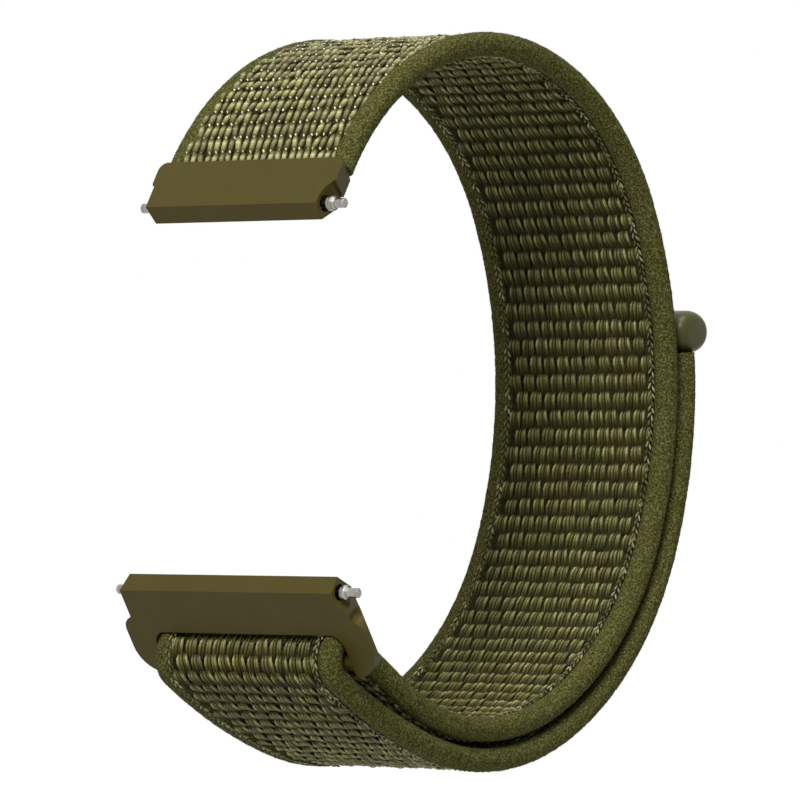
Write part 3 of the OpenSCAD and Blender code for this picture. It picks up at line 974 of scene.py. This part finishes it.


# Cuts a spring at its middle; each half is attached to its bar's body
def springHalves(end):
    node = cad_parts[end + "_bar_spring"]
    low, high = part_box(end + "_bar_spring")
    middle = [(a + b) / 2 for a, b in zip(low, high)]
    for edge, side in (("near", -1), ("far", 1)):
        work = bmesh.new()
        work.from_mesh(node.data)
        bmesh.ops.remove_doubles(work, verts=work.verts, dist=springBar["weld"] * mm)
        cut = bmesh.ops.bisect_plane(work, geom=work.verts[:] + work.edges[:] + work.faces[:],
                                     plane_co=middle, plane_no=(0, -side, 0), clear_outer=True)
        bmesh.ops.holes_fill(work, edges=[e for e in cut["geom_cut"] if isinstance(e, bmesh.types.BMEdge)])
        mesh = bpy.data.meshes.new(end + "Spring" + edge.title())
        work.to_mesh(mesh)
        work.free()
        mesh.materials.append(finish["wire"])
        obj = newObject(end + "Spring" + edge.title(), mesh)
        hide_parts(end + "_bar_spring")
        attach(obj, end + "_bar")
        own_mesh(obj)


def paintNode(node, material):
    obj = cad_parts[node]
    obj.data.materials.clear()
    obj.data.materials.append(material)


for node, name, body in (("upper_connector", "upperBlock", "loop"),
                         ("lower_connector", "lowerBlock", "buckle")):
    block = softened(node, name, finish["paint"])
    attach(block, body)
endBar = domedBar("end_tab", "endBar", finish["tab"])
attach(endBar, "tail_3")
for end in ("upper", "lower"):
    for part in ("barrel", "tip_near", "tip_far"):
        paintNode("%s_bar_%s" % (end, part), finish["steel"])
    springHalves(end)
paintNode("strap_anchor_rod", finish["wire"])
paintNode("hook_patch", finish["hooks"])
bare = round(hookRow["ends"] / strap["step"])
patch = guide(stretches["tail_3"][bare:-bare], hookRow["offset"])
hooks = rowsOf("hooks", patch, hook, hookRow, finish["hooks"])
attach(hooks, "tail_3")
print("hard parts finished")

for helper in helpers:
    bpy.data.objects.remove(helper)


# Stage

stage = {
    "target": (2.5, 0.0, -1.5),
    "azimuth": -50.8,                       # degrees
    "elevation": -0.4,
    "distance": 600.0,
    "lens": 322.8,
    "sensor": 36,
    "shift": (-2.541, 0.277),               # of the target, right and up in the picture
    "worldLevel": 0.2,                      # light that the world gives; the eye sees it as 1, white
}
lamps = {                                   # degrees, metres and watts
    "keyLight": {"azimuth": -64, "elevation": 42, "distance": 0.9, "size": 0.35, "power": 6.6},
    "topLight": {"azimuth": -40, "elevation": 78, "distance": 0.9, "size": 0.4, "power": 4.4},
}
floor = {
    "height": -75.0,
    "reach": 3000.0,
    "paper": 0.6,                           # its grey, which takes the shadow
    "glow": 1.09,                           # what the eye sees of it, so that it merges with the white world
    "share": 0.92,
}


def direction(azimuth, elevation):
    a, e = math.radians(azimuth), math.radians(elevation)
    return Vector((math.sin(a) * math.cos(e), -math.cos(a) * math.cos(e), math.sin(e)))


def makeCamera():
    data = bpy.data.cameras.new("camera")
    data.lens = stage["lens"]
    data.sensor_width = stage["sensor"]
    camera = newObject("camera", data)
    back = direction(stage["azimuth"], stage["elevation"])
    turn = math.radians(stage["azimuth"])
    right = Vector((math.cos(turn), math.sin(turn), 0))
    up = back.cross(right)
    target = Vector(stage["target"]) + stage["shift"][0] * right + stage["shift"][1] * up
    place = Matrix.Translation((target + back * stage["distance"]) * mm)
    camera.matrix_world = place @ Matrix((right, up, back)).transposed().to_4x4()
    scene.camera = camera


def makeLight(name, azimuth, elevation, distance, size, power):
    data = bpy.data.lights.new(name, "AREA")
    data.size = size
    data.energy = power
    lamp = newObject(name, data)
    lamp.location = direction(azimuth, elevation) * distance
    lamp.rotation_euler = direction(azimuth, elevation).to_track_quat("Z", "Y").to_euler()


def seenAsWhite(tree):                      # 1 where a ray comes from the eye, a shiny surface or glass
    path = addNode(tree, "ShaderNodeLightPath").outputs
    seen = addNode(tree, "ShaderNodeMath", {0: path["Is Camera Ray"], 1: path["Is Glossy Ray"]},
                   operation="MAXIMUM")
    return addNode(tree, "ShaderNodeMath", {0: seen, 1: path["Is Transmission Ray"]}, operation="MAXIMUM")


def makeWorld():
    world = bpy.data.worlds.new("studio")
    world.use_nodes = True
    tree = world.node_tree
    tree.nodes.clear()
    strength = addNode(tree, "ShaderNodeMapRange",
                       {"Value": seenAsWhite(tree), "To Min": stage["worldLevel"], "To Max": 1.0})
    glow = addNode(tree, "ShaderNodeBackground", {"Color": (1, 1, 1, 1), "Strength": strength})
    addNode(tree, "ShaderNodeOutputWorld", {"Surface": glow})
    scene.world = world


def makeFloor():
    mesh = bpy.data.meshes.new("floor")
    size, z = floor["reach"] * mm, floor["height"] * mm
    mesh.from_pydata([(-size, -size, z), (size, -size, z), (size, size, z), (-size, size, z)], [],
                     [(0, 1, 2, 3)])
    material = bpy.data.materials.new("paper sweep")
    material.use_nodes = True
    tree = material.node_tree
    tree.nodes.clear()
    grey = floor["paper"]
    paper = addNode(tree, "ShaderNodeBsdfDiffuse", {"Color": (grey, grey, grey, 1)})
    glow = addNode(tree, "ShaderNodeEmission", {"Color": (1, 1, 1, 1), "Strength": floor["glow"]})
    share = addNode(tree, "ShaderNodeMath", {0: seenAsWhite(tree), 1: floor["share"]}, operation="MULTIPLY")
    mixed = addNode(tree, "ShaderNodeMixShader", {0: share, 1: paper, 2: glow})
    addNode(tree, "ShaderNodeOutputMaterial", {"Surface": mixed})
    mesh.materials.append(material)
    newObject("floor", mesh)


makeCamera()
for name, sizes in lamps.items():
    makeLight(name, **sizes)
makeWorld()
makeFloor()
scene.view_settings.view_transform = "Standard"
print("stage set")
